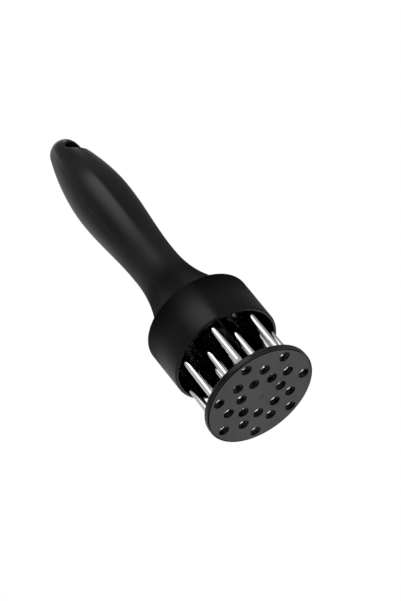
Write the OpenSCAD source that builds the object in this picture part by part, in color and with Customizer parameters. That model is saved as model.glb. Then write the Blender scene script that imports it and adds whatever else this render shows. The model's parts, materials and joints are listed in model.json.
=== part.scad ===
// Blade meat tenderizer: 21 sprung-guard needles under an oval two-shell handle.
// The tool stands on its guard disc. Origin: centre of the disc's working face. +Z runs up the handle,
// +X runs along the hanging hole.

/* [Guard disc] */
// Distance that the guard disc stands out beyond the housing's mouth
guard_lip = 0.55; // [0.1:0.05:1]
// Thickness of the guard disc at its rim
guard_t = 3; // [2.4:0.1:5]
// Width of the step round the raised working face
face_ledge = 0.5; // [0.4:0.1:1]
// Height of the raised working face over the rim
face_h = 0.3; // [0.2:0.1:0.8]
// Rounding of the rim's lower edge, over the step of the face
rim_round = 0.2; // [0.1:0.05:0.3]
// Rounding of the disc's upper edge
guard_round = 0.8; // [0.2:0.1:1.2]
// Radial clearance of a needle in its hole in the disc
guide_gap = 0.85; // [0.3:0.05:0.9]
// Diameter of the guide stem
stem_d = 8; // [7:0.1:8.6]
// Radius of the fillet between stem and disc
stem_fillet = 2.5; // [1:0.1:3]
// Distance that the guard slides up when the tool is pressed down
guard_travel = 24.2; // [18:0.1:26]
// Gap that is left between disc and housing when the guard is fully up
closed_gap = 0.3; // [0.2:0.1:1]

/* [Needles] */
// Needles in each of the three rings
needles_per_ring = 7; // [5:1:8]
// Clearance between the inner needles and the guide sleeve
sleeve_gap = 2.3; // [1.8:0.1:4]
// Clearance between the outer needles and the housing's wall
wall_gap = 1; // [0.5:0.1:1.5]
// Diameter of a needle
needle_d = 3.2; // [2.6:0.1:3.6]
// Half angle of the ground point
point_angle = 20; // [15:1:30]
// Distance from the disc's working face back to the needle points
point_inset = 2; // [0.6:0.1:2.8]
// Width by which the upset needle head stands out from the shank
needle_head_lip = 0.4; // [0.2:0.05:0.45]
// Height of the upset needle head
needle_head_h = 1; // [0.8:0.1:1.6]

/* [Needle housing] */
// Outer height of the housing
housing_h = 24.4; // [22:0.2:30]
// Outer diameter at the mouth
housing_mouth_d = 50.4; // [45:0.1:56]
// Width by which the housing's top stands out beyond its mouth
housing_flare = 0.4; // [0.1:0.05:1.5]
// Wall thickness of the housing
housing_wall = 1.4; // [1.2:0.1:1.5]
// Thickness of the housing's roof
roof_t = 2.5; // [2:0.1:4]
// Rounding of the lip at the mouth
lip_round = 0.9; // [0.4:0.1:1]
// Rounding of the housing's top edge
top_round = 0.7; // [0.3:0.1:1.5]
// Thickness of the plate that carries the needles
carrier_t = 5; // [4.6:0.1:7]
// Length of the guide sleeve under the carrier
sleeve_len = 6; // [3:0.5:9]
// Wall thickness of the guide sleeve
sleeve_wall = 2; // [1.5:0.1:2.6]

/* [Handle] */
// Width of the housing's top that shows round the foot
foot_inset = 2.9; // [1.5:0.1:4]
// Straight edge of the foot before the flare begins
foot_edge = 0.6; // [0.3:0.1:2]
// Half width of the neck
neck_r = 11.8; // [10.8:0.1:14]
// Height of the neck over the housing
neck_h = 39.1; // [34:0.1:44]
// Half width of the belly
belly_r = 14.8; // [13:0.1:18]
// Height of the belly over the housing
belly_h = 90.1; // [84:0.1:98]
// Half width of the shoulder where the end cap begins
shoulder_r = 7.8; // [7.2:0.1:8.5]
// Length of the handle, from the housing to its end
handle_len = 140.1; // [126:0.1:156]
// Length of the rounded end cap over the shoulder
cap_len = 6; // [5:0.1:10]
// Thickness of the handle over its width
handle_oval = 0.9; // [0.86:0.01:1]
// Power of the curve that flares the neck into the foot
flare_power = 2.2; // [2:0.05:3]
// Power of the curve that tapers the belly to the shoulder
taper_power = 1.85; // [1.6:0.05:2.2]
// Wall thickness of the handle shells
shell_wall = 2.6; // [2:0.1:3]
// Diameter of the hanging hole
hang_d = 10; // [8:0.1:10.4]
// Distance of the hanging hole from the handle's end
hang_inset = 12.8; // [11:0.1:14]
// Radius of the rounded mouths of the hanging hole
hang_round = 0.7; // [0.4:0.1:1.2]

/* [Inside the handle] */
// Diameter of the spring chamber in the neck
chamber_d = 13; // [12.6:0.1:13.4]
// Wall thickness of the spring chamber in the foot
chamber_wall = 2.5; // [2:0.1:3]
// Depth of the cored pocket in the foot
foot_pocket_h = 9; // [6:0.5:11]
// Thickness of the bulkhead over the spring chamber
bulkhead_t = 3; // [2:0.5:6]
// Solid length between the hollow of the belly and the hanging hole
hang_wall = 6; // [4:0.1:12]
// Number of cross ribs in the belly
rib_count = 3; // [2:1:4]
// Thickness of a cross rib
rib_t = 2; // [1.5:0.1:3]
// Diameter of the bosses that carry the locating pegs
peg_boss_d = 7; // [6:0.5:9]
// Diameter of a locating peg
peg_d = 3; // [2:0.1:4]
// Length of a locating peg
peg_len = 3; // [2:0.1:4]

/* [Spring] */
// Radial clearance of the spring in its chamber
spring_side_gap = 0.7; // [0.4:0.1:1]
// Diameter of the spring wire
wire_d = 1; // [0.8:0.1:1.1]
// Number of curls in the spring
spring_curls = 13; // [9:1:13]
// Length by which the spring can still shorten when the guard is fully up
spring_spare = 4.2; // [2:0.1:5]
// Radial clearance of the spring seat in the chamber
seat_side_gap = 0.3; // [0.2:0.05:0.5]
// Thickness of the spring seat's flange
seat_t = 1.6; // [1.2:0.1:2.4]
// Height of the seat's boss inside the spring
seat_boss_h = 2.4; // [1.5:0.1:4]

/* [Screws] */
// Shank diameter of the screws
screw_d = 2.9; // [2.5:0.1:3]
// Head diameter of the screws
screw_head_d = 5.4; // [4.8:0.1:5.6]
// Head height of the screws
screw_head_h = 2; // [1.6:0.1:2.2]
// Rounding of the screw heads
screw_head_round = 1.2; // [0.4:0.1:1.5]
// Length of the cross recess in a screw head
drive_len = 3.2; // [2:0.1:3.8]
// Width of the cross recess
drive_w = 0.9; // [0.5:0.1:1.2]
// Depth of the cross recess
drive_depth = 1; // [0.5:0.1:1.2]
// Depth of the housing screws' heads below the carrier's face
head_sink = 0.5; // [0.2:0.1:1]
// Number of housing screws
screw_count = 4; // [3:1:5]
// Depth that the housing screws reach into the handle foot
screw_grip = 4.6; // [3:0.1:5]
// Wall of the screw bosses in the foot
screw_boss_wall = 1.7; // [1.2:0.1:2.2]
// Length of the stem screw
stem_screw_len = 14; // [10:1:20]

/* [Fits] */
// Radial running clearance of the stem in its guide
run_gap = 0.08; // [0.03:0.01:0.1]
// Radial clearance of fixed pieces in their holes
fit_gap = 0.1; // [0.05:0.01:0.14]
// Gap between faces that are clamped together
face_gap = 0.05; // [0.02:0.01:0.1]
// Clearance of faces that meet at the guard's stop
stop_gap = 0.1; // [0.05:0.01:0.3]

/* [Hidden] */
$fn = 96;
fine_fn = 48;
round_steps = 6;
cut = 1;
half_turn = 180;
quarter_turn = 90;
full_turn = 360;

guard_d = housing_mouth_d + 2 * guard_lip;
face_d = guard_d - 2 * face_ledge;
guard_hole_d = needle_d + 2 * guide_gap;
housing_top_d = housing_mouth_d + 2 * housing_flare;
mouth_z = guard_t + guard_travel + closed_gap;
housing_top_z = mouth_z + housing_h;
roof_z = housing_top_z - roof_t;
carrier_z = roof_z - carrier_t;
sleeve_z = carrier_z - sleeve_len;
ring_step = full_turn / needles_per_ring;
ring_inner_r = stem_d / 2 + sleeve_wall + sleeve_gap + needle_d / 2;
ring_outer_r = housing_mouth_d / 2 - housing_wall - wall_gap - needle_d / 2;
ring_middle_r = (ring_inner_r + ring_outer_r) / 2;
needle_head_d = needle_d + 2 * needle_head_lip;
carrier_top_z = roof_z - face_gap;
needle_top_z = carrier_top_z - face_gap;
head_seat_z = needle_top_z - needle_head_h;
loose_gap = 2 * fit_gap;

stem_top_z = housing_top_z + stop_gap;
seat_z = stem_top_z;
seat_top_z = seat_z + seat_t;
seat_d = chamber_d - 2 * seat_side_gap;
spring_d = chamber_d - 2 * spring_side_gap;
spring_r = (spring_d - wire_d) / 2;
spring_rings_per_curl = 8;
spring_sides = 6;
spring_bore_r = spring_r * cos(half_turn / spring_rings_per_curl) - wire_d / 2;
spring_ends = 2;
spring_solid_len = (spring_curls + spring_ends) * wire_d;
spring_len = spring_solid_len + spring_spare + guard_travel;
chamber_top_z = seat_top_z + spring_len;
seat_boss_d = 2 * (spring_bore_r - loose_gap);
pilot_spare = 1;
stem_pilot_depth = stem_screw_len - seat_t - seat_boss_h + pilot_spare;

recess_depth = screw_head_h + head_sink;
recess_z = carrier_z + recess_depth;
housing_screw_len = roof_z - recess_z + roof_t + screw_grip;
screw_ring_r = ring_middle_r;
screw_boss_d = screw_d + fit_gap + 2 * screw_boss_wall;
screw_spots = [for (i = [0:screw_count - 1]) round((i + 1 / 2) * needles_per_ring / screw_count)];

neck_z = housing_top_z + neck_h;
belly_z = housing_top_z + belly_h;
end_z = housing_top_z + handle_len;
shoulder_z = end_z - cap_len;
foot_r = housing_top_d / 2 - foot_inset;
hang_z = end_z - hang_inset;
mouth_lap = 0.05;
hollow_top_z = hang_z - hang_d / 2 - hang_wall;
hollow_z = chamber_top_z + bulkhead_t;
rib_pitch = (hollow_top_z - hollow_z) / (rib_count + 1);
foot_pocket_top_z = housing_top_z + foot_pocket_h;
profile_steps = 14;
cap_steps = 8;

// ---- Outline of the handle: half width along X at each height ----

function flare_r(z) =
    let (u = (z - housing_top_z - foot_edge) / (neck_z - housing_top_z - foot_edge))
    neck_r + (foot_r - neck_r) * pow(1 - min(1, max(0, u)), flare_power);

function swell_r(z) =
    neck_r + (belly_r - neck_r) * (1 - cos(half_turn * (z - neck_z) / (belly_z - neck_z))) / 2;

function taper_r(z) =
    belly_r - (belly_r - shoulder_r) * pow((z - belly_z) / (shoulder_z - belly_z), taper_power);

// The cap leaves the shoulder at the taper's own slope and closes like an ellipse
function cap_r(z) =
    let (
        u = (z - shoulder_z) / cap_len,
        slope = -(belly_r - shoulder_r) * taper_power / (shoulder_z - belly_z),
        lead = 2 * shoulder_r * slope * cap_len
    )
    sqrt(max(0, shoulder_r * shoulder_r + lead * u - (shoulder_r * shoulder_r + lead) * u * u));

function handle_r(z) =
    z < neck_z ? flare_r(z) : z < belly_z ? swell_r(z) : z < shoulder_z ? taper_r(z) : cap_r(z);

function steps(from, to, n) = [for (i = [0:n - 1]) from + (to - from) * i / n];

handle_heights = concat(
    [housing_top_z],
    steps(housing_top_z + foot_edge, neck_z, profile_steps),
    steps(neck_z, belly_z, profile_steps),
    steps(belly_z, shoulder_z, profile_steps),
    [for (i = [0:cap_steps]) shoulder_z + cap_len * sin(quarter_turn * i / cap_steps)]
);

// Solid of the handle's outline, drawn in by the wall where it is used for a hollow
module handle_form(from_z, to_z, wall = 0) {
    heights = concat([from_z], [for (z = handle_heights) if (z > from_z && z < to_z) z], [to_z]);
    scale([1, handle_oval, 1])
        rotate_extrude()
            polygon(concat(
                [[0, from_z]],
                [for (z = heights) if (handle_r(z) - wall > 0) [handle_r(z) - wall, z]],
                [[0, to_z]]
            ));
}

// ---- Shared shapes ----

// Places its children once at each needle of a ring
module around_ring(r, turn = 0) {
    for (i = [0:needles_per_ring - 1])
        rotate(ring_step * i + turn)
            translate([r, 0, 0])
                children();
}

// All 21 needle places
module needle_places() {
    around_ring(ring_inner_r) children();
    around_ring(ring_middle_r, ring_step / 2) children();
    around_ring(ring_outer_r) children();
}

// The places of the housing screws, each between two needles
module screw_places() {
    for (i = screw_spots)
        rotate(ring_step * i)
            translate([screw_ring_r, 0, 0])
                children();
}

// Quarter arc of points about a centre, from one angle to another
function arc(cx, cy, r, a0, a1) =
    [for (i = [0:round_steps]) let (a = a0 + (a1 - a0) * i / round_steps) [cx + r * cos(a), cy + r * sin(a)]];

// Pan-head screw, head resting on z = 0 and shank pointing up, with a cross recess in the head
module pan_screw(length) {
    head_r = screw_head_d / 2;
    lead = screw_d / 4;
    difference() {
        rotate_extrude()
            polygon(concat(
                [[0, -screw_head_h]],
                arc(
                    head_r - screw_head_round, screw_head_round - screw_head_h, screw_head_round,
                    -quarter_turn, 0
                ),
                [
                    [head_r, 0],
                    [screw_d / 2, 0],
                    [screw_d / 2, length - 2 * lead],
                    [lead, length],
                    [0, length]
                ]
            ));
        for (turn = [0, quarter_turn])
            rotate(turn)
                translate([-drive_len / 2, -drive_w / 2, -screw_head_h - cut])
                    cube([drive_len, drive_w, drive_depth + cut]);
    }
}

// ---- Handle ----

// Everything on one side of the parting plane x = 0
module half_space(side) {
    reach = 2 * housing_top_d;
    translate([side > 0 ? 0 : -reach, -reach / 2, -cut])
        cube([reach, reach, end_z + 2 * cut]);
}

// Boss across the belly that carries a peg or its socket
module peg_boss(z) {
    translate([-belly_r, 0, z])
        rotate([0, quarter_turn, 0])
            cylinder(h = 2 * belly_r, d = peg_boss_d, $fn = fine_fn);
}

function rib_z(i) = hollow_z + rib_pitch * i;

// Hollow of the belly, with its cross ribs and peg bosses left standing
module belly_hollow() {
    difference() {
        handle_form(hollow_z, hollow_top_z, shell_wall);
        for (i = [1:rib_count]) {
            translate([-belly_r, -belly_r, rib_z(i) - rib_t / 2])
                cube([2 * belly_r, 2 * belly_r, rib_t]);
            peg_boss(rib_z(i));
        }
    }
}

// Pocket in the foot round the spring chamber, with the four screw bosses left standing
module foot_pocket() {
    difference() {
        handle_form(housing_top_z - cut, foot_pocket_top_z, shell_wall);
        cylinder(h = foot_pocket_top_z + cut, d = chamber_d + 2 * chamber_wall);
        screw_places()
            cylinder(h = foot_pocket_top_z + cut, d = screw_boss_d, $fn = fine_fn);
    }
}

// The hanging hole: a straight bore, with a rounded mouth square to the surface at each end
module hanging_hole() {
    mouth_x = handle_r(hang_z) - hang_round;
    slope = (handle_r(hang_z + cut) - handle_r(hang_z - cut)) / (2 * cut);
    mouth_r = hang_d / 2 + hang_round - mouth_lap;
    translate([0, 0, hang_z]) {
        rotate([0, quarter_turn, 0])
            cylinder(h = 2 * belly_r, d = hang_d, center = true);
        for (side = [0, 1])
            mirror([side, 0, 0])
                translate([mouth_x, 0, 0])
                    rotate([0, quarter_turn + atan(slope), 0])
                        rotate_extrude()
                            polygon(concat(
                                [[0, 0]],
                                arc(mouth_r, 0, hang_round, half_turn, quarter_turn),
                                [[mouth_r, hang_round + cut], [0, hang_round + cut]]
                            ));
    }
}

// One half of the handle, before its pegs or sockets
module handle_half(side) {
    difference() {
        intersection() {
            handle_form(housing_top_z, end_z);
            half_space(side);
        }
        belly_hollow();
        foot_pocket();
        translate([0, 0, housing_top_z - cut])
            cylinder(h = chamber_top_z - housing_top_z + cut, d = chamber_d);
        screw_places()
            translate([0, 0, housing_top_z - cut])
                cylinder(h = screw_grip + loose_gap + cut, d = screw_d + fit_gap, $fn = fine_fn);
        hanging_hole();
    }
}

module peg(z, d, length) {
    translate([-length, 0, z])
        rotate([0, quarter_turn, 0])
            cylinder(h = length, d = d, $fn = fine_fn);
}

module handle_front_shell() {
    color([0.13, 0.13, 0.14])
        union() {
            handle_half(1);
            for (i = [1:rib_count]) peg(rib_z(i), peg_d, peg_len);
        }
}

module handle_rear_shell() {
    color([0.15, 0.15, 0.16])
        difference() {
            handle_half(-1);
            for (i = [1:rib_count]) peg(rib_z(i), peg_d + 2 * fit_gap, peg_len + loose_gap);
        }
}

// ---- Needle housing and carrier ----

function housing_r(z) =
    (housing_mouth_d + (housing_top_d - housing_mouth_d) * (z - mouth_z) / housing_h) / 2;

module needle_housing() {
    color([0.06, 0.06, 0.065])
        difference() {
            rotate_extrude()
                polygon(concat(
                    arc(housing_mouth_d / 2 - lip_round, mouth_z + lip_round, lip_round, -quarter_turn, 0),
                    arc(housing_top_d / 2 - top_round, housing_top_z - top_round, top_round, 0, quarter_turn),
                    [
                        [0, housing_top_z],
                        [0, roof_z],
                        [housing_r(roof_z) - housing_wall, roof_z],
                        [housing_mouth_d / 2 - housing_wall, mouth_z]
                    ]
                ));
            translate([0, 0, roof_z - cut])
                cylinder(h = roof_t + 2 * cut, d = stem_d + 2 * loose_gap);
            screw_places()
                translate([0, 0, roof_z - cut])
                    cylinder(h = roof_t + 2 * cut, d = screw_d + 2 * fit_gap, $fn = fine_fn);
        }
}

module needle_carrier() {
    carrier_r = housing_r(carrier_z) - housing_wall - fit_gap;
    color([0.75, 0.75, 0.72])
        difference() {
            rotate_extrude()
                polygon([
                    [0, sleeve_z],
                    [stem_d / 2 + sleeve_wall, sleeve_z],
                    [stem_d / 2 + sleeve_wall, carrier_z],
                    [carrier_r, carrier_z],
                    [carrier_r, carrier_top_z],
                    [0, carrier_top_z]
                ]);
            translate([0, 0, sleeve_z - cut])
                cylinder(h = carrier_t + sleeve_len + 2 * cut, d = stem_d + 2 * run_gap);
            needle_places() {
                translate([0, 0, carrier_z - cut])
                    cylinder(h = carrier_t + 2 * cut, d = needle_d + fit_gap, $fn = fine_fn);
                translate([0, 0, head_seat_z - face_gap])
                    cylinder(h = needle_head_h + 2 * cut, d = needle_head_d + 2 * fit_gap, $fn = fine_fn);
            }
            screw_places() {
                translate([0, 0, carrier_z - cut])
                    cylinder(h = carrier_t + 2 * cut, d = screw_d + 2 * fit_gap, $fn = fine_fn);
                translate([0, 0, carrier_z - cut])
                    cylinder(h = recess_depth + cut, d = screw_head_d + 2 * loose_gap, $fn = fine_fn);
            }
        }
}

// ---- Needles: round shank, upset head, and a point ground on two sides to a chisel edge ----

module needle() {
    color([0.85, 0.86, 0.88])
        difference() {
            rotate_extrude($fn = fine_fn)
                polygon([
                    [0, point_inset],
                    [needle_d / 2, point_inset],
                    [needle_d / 2, head_seat_z],
                    [needle_head_d / 2, head_seat_z],
                    [needle_head_d / 2, needle_top_z],
                    [0, needle_top_z]
                ]);
            for (side = [0, 1])
                mirror([side, 0, 0])
                    translate([0, needle_d, point_inset])
                        rotate([quarter_turn, 0, 0])
                            linear_extrude(2 * needle_d)
                                polygon([
                                    [0, -cut],
                                    [needle_d, -cut],
                                    [needle_d, needle_d / tan(point_angle)],
                                    [0, 0]
                                ]);
        }
}

module ring_needle(r, i, turn = 0) {
    rotate(ring_step * (i - 1) + turn)
        translate([r, 0, 0])
            needle();
}

module housing_screws() {
    color([0.7, 0.7, 0.72])
        screw_places()
            translate([0, 0, recess_z])
                pan_screw(housing_screw_len);
}

// ---- Sliding guard ----

module guard_disc() {
    rim_r = guard_d / 2;
    stem_r = stem_d / 2;
    color([0.2, 0.2, 0.21])
        difference() {
            rotate_extrude()
                polygon(concat(
                    [[0, 0], [face_d / 2, 0], [face_d / 2, face_h]],
                    arc(rim_r - rim_round, face_h + rim_round, rim_round, -quarter_turn, 0),
                    arc(rim_r - guard_round, guard_t - guard_round, guard_round, 0, quarter_turn),
                    arc(stem_r + stem_fillet, guard_t + stem_fillet, stem_fillet, -quarter_turn, -half_turn),
                    [[stem_r, stem_top_z], [0, stem_top_z]]
                ));
            needle_places()
                translate([0, 0, -cut])
                    cylinder(h = guard_t + 2 * cut, d = guard_hole_d, $fn = fine_fn);
            translate([0, 0, stem_top_z - stem_pilot_depth])
                cylinder(h = stem_pilot_depth + cut, d = screw_d + fit_gap, $fn = fine_fn);
        }
}

// Flanged seat under the spring, with a boss that centres the curls
module spring_seat() {
    color([0.72, 0.7, 0.64])
        difference() {
            rotate_extrude()
                polygon([
                    [0, seat_z],
                    [seat_d / 2, seat_z],
                    [seat_d / 2, seat_top_z],
                    [seat_boss_d / 2, seat_top_z],
                    [seat_boss_d / 2, seat_top_z + seat_boss_h],
                    [0, seat_top_z + seat_boss_h]
                ]);
            translate([0, 0, seat_z - cut])
                cylinder(h = seat_t + seat_boss_h + 2 * cut, d = screw_d + 2 * fit_gap, $fn = fine_fn);
        }
}

module stem_screw() {
    color([0.7, 0.7, 0.72])
        translate([0, 0, seat_top_z + seat_boss_h])
            rotate([half_turn, 0, 0])
                pan_screw(stem_screw_len);
}

// ---- Return spring: one tube swept along a helix, its ends straight and square to seat and bulkhead ----

spring_rings = spring_curls * spring_rings_per_curl;
helix_z = seat_top_z + wire_d;
helix_len = spring_len - 2 * wire_d;

function helix_point(i) =
    let (a = full_turn * i / spring_rings_per_curl)
    [spring_r * cos(a), spring_r * sin(a), helix_z + helix_len * i / spring_rings];

spring_path = concat(
    [[spring_r, 0, seat_top_z]],
    [for (i = [0:spring_rings]) helix_point(i)],
    [[spring_r, 0, chamber_top_z]]
);

function unit(v) = v / norm(v);
function path_dir(p, i) =
    i == 0 ? unit(p[1] - p[0])
    : i == len(p) - 1 ? unit(p[i] - p[i - 1])
    : unit(unit(p[i + 1] - p[i]) + unit(p[i] - p[i - 1]));

// Section ring square to the path, its first point turned outwards from the spring's axis
function path_ring(p, i, r, n) =
    let (
        t = path_dir(p, i),
        out = unit([p[i][0], p[i][1], 0]),
        u = unit(out - t * (out * t)),
        v = cross(t, u)
    )
    [for (k = [0:n - 1]) p[i] + r * (cos(full_turn * k / n) * u + sin(full_turn * k / n) * v)];

module swept_tube(p, r, n) {
    m = len(p);
    points = [for (i = [0:m - 1]) each path_ring(p, i, r, n)];
    sides = [
        for (i = [0:m - 2], k = [0:n - 1])
            let (a = i * n + k, b = i * n + (k + 1) % n)
            each [[a, a + n, b], [b, a + n, b + n]]
    ];
    first_cap = [for (k = [1:n - 2]) [0, k, k + 1]];
    last_cap = [for (k = [1:n - 2]) [(m - 1) * n, (m - 1) * n + k + 1, (m - 1) * n + k]];
    polyhedron(points, concat(sides, first_cap, last_cap));
}

spring_gap = min([
    for (i = [0:spring_rings], j = [i + spring_rings_per_curl / 2:spring_rings])
        norm(helix_point(i) - helix_point(j)) - wire_d
]);
echo(least_gap_between_curls = spring_gap);

module return_spring() {
    color([0.78, 0.79, 0.8])
        swept_tube(spring_path, wire_d / 2, spring_sides);
}

handle_front_shell();
handle_rear_shell();
needle_housing();
needle_carrier();
for (i = [1:needles_per_ring]) {
    ring_needle(ring_inner_r, i);
    ring_needle(ring_middle_r, i, ring_step / 2);
    ring_needle(ring_outer_r, i);
}
housing_screws();
guard_disc();
spring_seat();
stem_screw();
return_spring();
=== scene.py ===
"""Looks of the blade meat tenderizer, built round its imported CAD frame.

Every piece is a class that holds its sizes in millimetres, builds its mesh in place and dresses it. Finishes are
frozen dataclasses, and what repeats comes from Geometry Nodes. The stage is a soft studio world, one soft light, a
pale floor and the camera.
"""

import json
import logging
import math
from dataclasses import dataclass, field
from enum import Enum
from functools import cache
from typing import Iterable, Sequence

import bmesh
import bpy
from mathutils import Matrix, Vector
from mathutils.geometry import tessellate_polygon

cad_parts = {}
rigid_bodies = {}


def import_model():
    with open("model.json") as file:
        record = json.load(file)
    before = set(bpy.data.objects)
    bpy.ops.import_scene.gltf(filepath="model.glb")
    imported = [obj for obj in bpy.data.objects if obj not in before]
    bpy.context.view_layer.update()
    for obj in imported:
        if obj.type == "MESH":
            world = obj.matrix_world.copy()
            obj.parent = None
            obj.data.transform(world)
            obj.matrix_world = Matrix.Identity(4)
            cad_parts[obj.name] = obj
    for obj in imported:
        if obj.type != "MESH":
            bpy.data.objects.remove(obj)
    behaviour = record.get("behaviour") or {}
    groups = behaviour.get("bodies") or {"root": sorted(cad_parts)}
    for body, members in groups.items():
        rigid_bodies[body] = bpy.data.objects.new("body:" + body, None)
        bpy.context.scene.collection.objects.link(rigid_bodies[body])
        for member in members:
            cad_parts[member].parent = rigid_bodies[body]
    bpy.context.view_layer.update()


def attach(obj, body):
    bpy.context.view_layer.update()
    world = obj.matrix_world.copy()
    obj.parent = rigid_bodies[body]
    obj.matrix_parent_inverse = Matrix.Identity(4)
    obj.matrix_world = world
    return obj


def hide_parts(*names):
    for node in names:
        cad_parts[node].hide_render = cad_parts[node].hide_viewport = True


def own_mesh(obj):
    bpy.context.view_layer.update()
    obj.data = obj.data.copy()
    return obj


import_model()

logging.basicConfig(level=logging.INFO, format="%(message)s")
LOG = logging.getLogger("tenderizer")

MM = 0.001  # metres
WELD = 2e-7  # metres within which points are merged
SHARP = 35.0  # degrees of bend from which an edge stays sharp
FLAT_BEND = 1.0  # the same where a flat fill meets a wall
TURN = 2 * math.pi
HALF = math.pi
QUARTER = math.pi / 2
DEGREES = math.degrees(1)  # in a radian
AXIS_SIDES = 64  # sides of what is turned round the tool's axis
SCREW_HOLE_SIDES = 32

Point2 = tuple[float, float]
Point3 = tuple[float, float, float]
Loop = Sequence[Sequence[float]]


# ---------------------------------------------------------------- node trees


@dataclass(eq=False)
class Sock:
    """An output socket on which ordinary arithmetic adds Math nodes."""

    graph: "Graph"
    socket: bpy.types.NodeSocket

    def math(self, operation: str, *others: "Value", first: "Value" = None) -> "Sock":
        """Adds a Math node on this socket and the others; first comes before it, for the reflected forms."""
        values = [v for v in (first, self, *others) if v is not None]
        return self.graph.value("ShaderNodeMath", {"operation": operation}, dict(enumerate(values)))

    def __add__(self, other: "Value") -> "Sock":
        """Sum."""
        return self.math("ADD", other)

    def __radd__(self, other: "Value") -> "Sock":
        """Reflected sum."""
        return self.math("ADD", first=other)

    def __sub__(self, other: "Value") -> "Sock":
        """Difference."""
        return self.math("SUBTRACT", other)

    def __rsub__(self, other: "Value") -> "Sock":
        """Reflected difference."""
        return self.math("SUBTRACT", first=other)

    def __mul__(self, other: "Value") -> "Sock":
        """Product."""
        return self.math("MULTIPLY", other)

    def __rmul__(self, other: "Value") -> "Sock":
        """Reflected product."""
        return self.math("MULTIPLY", first=other)

    def __truediv__(self, other: "Value") -> "Sock":
        """Quotient."""
        return self.math("DIVIDE", other)

    def __rtruediv__(self, other: "Value") -> "Sock":
        """Reflected quotient."""
        return self.math("DIVIDE", first=other)

    def step(self, low: float, high: float) -> "Sock":
        """Smooth step from 0 at low to 1 at high."""
        limits = {"Value": self, "From Min": low, "From Max": high}
        return self.graph.value("ShaderNodeMapRange", {"interpolation_type": "SMOOTHSTEP"}, limits)


Value = Sock | float | None


class Graph:
    """Adds nodes to one node tree."""

    def __init__(self, tree: bpy.types.NodeTree) -> None:
        """Empties a shader or geometry node tree."""
        self.tree = tree
        tree.nodes.clear()

    def add(self, kind: str, settings: dict | None = None, inputs: dict | None = None) -> bpy.types.Node:
        """Adds a node of any type.

        Args:
            kind: the node's type name.
            settings: properties that are set first.
            inputs: values or links by the socket's name or number.

        Returns:
            The node.
        """
        node = self.tree.nodes.new(kind)
        for name, value in (settings or {}).items():
            setattr(node, name, value)
        for key, value in (inputs or {}).items():
            if isinstance(value, Sock):
                self.tree.links.new(value.socket, node.inputs[key])
            else:
                node.inputs[key].default_value = value
        return node

    def value(self, kind: str, settings: dict | None = None, inputs: dict | None = None, output: str | int = 0) -> Sock:
        """Adds a node as add does, and gives the output of that name or number."""
        return Sock(self, self.add(kind, settings, inputs).outputs[output])

    def noise(self, place: Sock, size: float, detail: float, roughness: float = 0.5) -> Sock:
        """Noise with blobs of about size millimetres."""
        inputs = {"Vector": place, "Scale": 1 / (size * MM), "Detail": detail, "Roughness": roughness}
        return self.value("ShaderNodeTexNoise", {}, inputs)

    def bump(self, height: Sock, depth: float, **normal: Sock) -> Sock:
        """Bump of depth millimetres, over another Normal where one is given."""
        return self.value("ShaderNodeBump", {}, {"Height": height, "Distance": depth * MM, **normal})

    def tint(self, colour: Point3, tone: Sock) -> Sock:
        """Colour that is made lighter or darker by a tone."""
        return self.value("ShaderNodeVectorMath", {"operation": "SCALE"}, {0: colour, "Scale": tone})


# ---------------------------------------------------------------- finishes


@dataclass(frozen=True)
class Finish:
    """What every finish has: a name that is its slot's too, a colour, and a roughness with its spread."""

    name: str
    colour: Point3
    roughness: float
    spread: float

    @cache
    def material(self) -> bpy.types.Material:
        """Makes the material on the first call; later calls give the same one.

        Returns:
            The material.
        """
        material = bpy.data.materials.new(self.name)
        material.use_nodes = True
        graph = Graph(material.node_tree)
        shader = self.shader(graph, graph.value("ShaderNodeTexCoord", output="Object"))
        graph.add("ShaderNodeOutputMaterial", {}, {"Surface": shader})
        return material

    def shader(self, graph: Graph, place: Sock) -> Sock:
        """Adds the finish's nodes to a graph, patterned on a place, and gives the shader."""
        raise NotImplementedError


@dataclass(frozen=True)
class Plastic(Finish):
    """Black moulded plastic: mould grain, slow sink ripples and rubbed patches. Sizes are in millimetres.

    The surface grows duller from the first height of dull_z to the second. Over the second pair of heights its shine is
    mixed away towards a shineless copy by the given share: painted shade, standing for the parts where the lights near
    the tool miss it.
    """

    grain: float
    grain_depth: float
    ripple: float
    ripple_depth: float
    specular: float
    mottle: float = 0.35
    dull: float = 0.0
    dull_z: Point2 = (0.0, 1.0)
    painted_shade: float = 0.0
    painted_shade_z: Point2 = (0.0, 1.0)
    cloud_size: float = 3.1
    fleck_size: float = 2.3
    rub_step: Point2 = (0.35, 0.7)

    def shader(self, graph: Graph, place: Sock) -> Sock:
        """Adds a shiny and a shineless shader, and mixes them by height into painted shade.

        Args:
            graph: the material's graph.
            place: its Object coordinates.

        Returns:
            The shader.
        """
        grain = graph.noise(place, self.grain, 3.0, 0.6)
        ripple = graph.noise(place, self.ripple, 1.0)
        rub = graph.noise(place, self.cloud_size * self.ripple, 4.0).step(*self.rub_step)
        fleck = graph.noise(place, self.fleck_size * self.grain, 2.0)
        height = graph.value("ShaderNodeSeparateXYZ", {}, {0: place}, "Z") / MM

        def grown(clear: float, full: float) -> Sock:
            """0 at the clear height, 1 at the full height."""
            return ((height - clear) / (full - clear)).step(0.0, 1.0)

        roughness = self.roughness + (rub - 0.5) * self.spread + (fleck - 0.5) * (self.spread / 2)
        inputs = {
            "Base Color": graph.tint(self.colour, rub * self.mottle + fleck * self.mottle + (1 - self.mottle)),
            "Roughness": roughness + grown(*self.dull_z) * self.dull,
            "Normal": graph.bump(grain, self.grain_depth, Normal=graph.bump(ripple, self.ripple_depth)),
        }
        # Painted shade: a shineless copy is mixed in by height where the lights near the tool miss the surface.
        shiny, shaded_copy = (
            graph.value("ShaderNodeBsdfPrincipled", {}, {**inputs, "Specular IOR Level": level})
            for level in (self.specular, 0.0)
        )
        return graph.value("ShaderNodeMixShader", {}, {0: grown(*self.painted_shade_z) * self.painted_shade, 1: shiny, 2: shaded_copy})


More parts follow.
